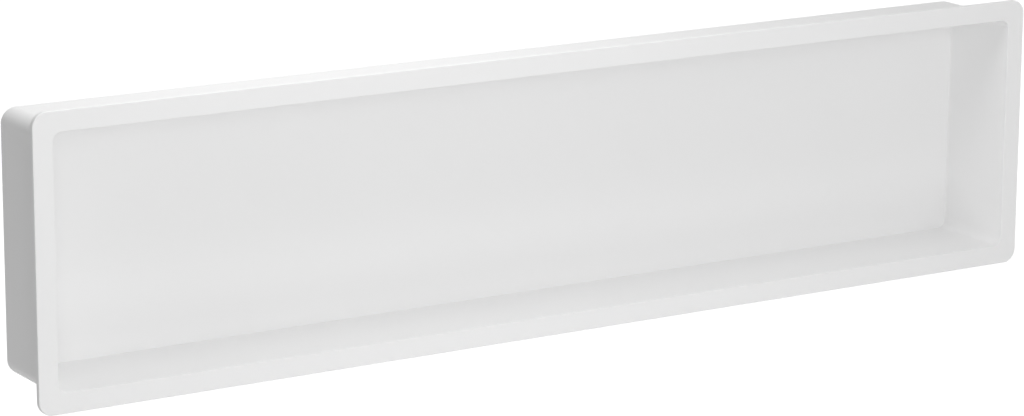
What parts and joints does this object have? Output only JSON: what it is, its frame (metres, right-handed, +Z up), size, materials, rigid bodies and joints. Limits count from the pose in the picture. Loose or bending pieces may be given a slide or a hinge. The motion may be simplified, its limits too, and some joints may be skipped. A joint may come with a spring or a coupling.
{
  "type": "shower niche insert",
  "caption": "Long shallow open-fronted box with a flat face flange, set into a shower wall as a recessed shelf for bottles and soap.",
  "frame": {"origin": "centre of the flange's back face, on the plane of the finished wall", "axes": "+X along the width, +Y into the wall, +Z up; the open front faces -Y"},
  "size_m": [1.2, 0.106, 0.298],
  "materials": {
    "white_satin": "satin white moulded resin, the same inside and out"
  },
  "bodies": {
    "root": {"niche_insert": "white_satin"}
  },
  "joints": []
}
